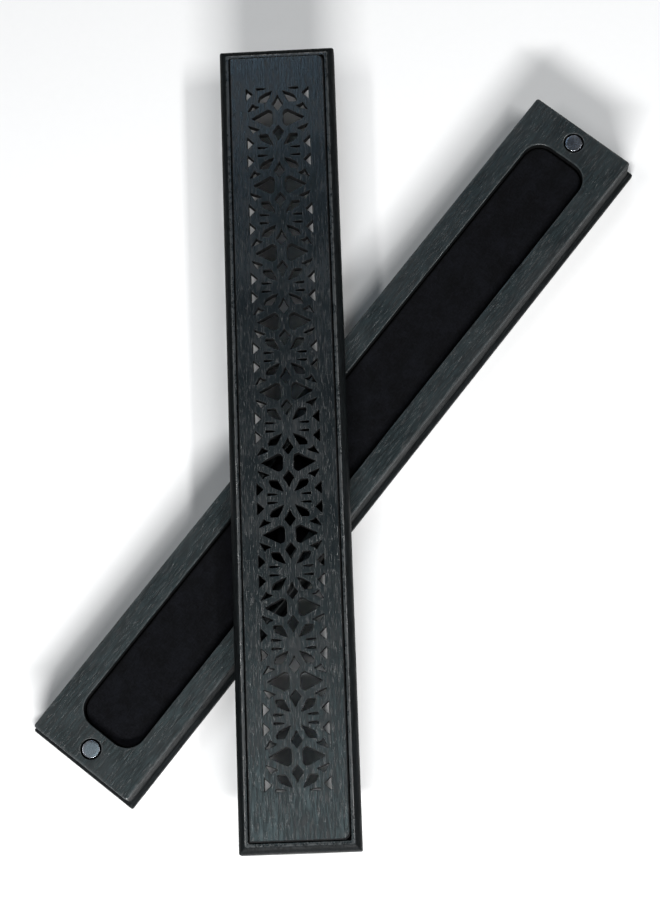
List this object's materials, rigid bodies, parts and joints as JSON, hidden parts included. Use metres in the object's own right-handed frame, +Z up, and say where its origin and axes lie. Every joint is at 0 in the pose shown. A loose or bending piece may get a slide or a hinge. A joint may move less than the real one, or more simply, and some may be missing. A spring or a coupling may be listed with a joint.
{
  "type": "incense burner",
  "caption": "Long low wooden box that burns an incense stick lying on a heat mat, with a fretted lid that turns flat on the tray and shuts on magnets.",
  "frame": {"origin": "centre of the tray's flat underside", "axes": "+X along the tray, +Z up out of the tray's mouth. At rest the lid lies on the tray with its length turned 40 degrees anticlockwise from +X, seen from above. Nodes named far are towards +X when the lid is in line with the tray."},
  "size_m": [0.2424, 0.1808, 0.0215],
  "materials": {
    "stained_wood": "black stain with a satin sheen and fine lengthwise grain",
    "fret_wood": "black stain with a satin sheen and fine lengthwise grain",
    "heat_mat": "matt black heatproof felt",
    "nickel": "nickel plate, slightly dulled"
  },
  "bodies": {
    "base": {"tray": "stained_wood", "heat_mat": "heat_mat", "tray_magnet_near": "nickel", "tray_magnet_far": "nickel"},
    "lid": {"lid_frame": "stained_wood", "fret_board": "fret_wood", "lid_magnet_near": "nickel", "lid_magnet_far": "nickel"}
  },
  "joints": [
    {"name": "lid_swivel", "type": "hinge", "parent": "base", "child": "lid", "pos_m": [-0.02, -0.007, 0.0133], "axis": [0, 0, 1], "range_deg": [-40, 50]}
  ]
}
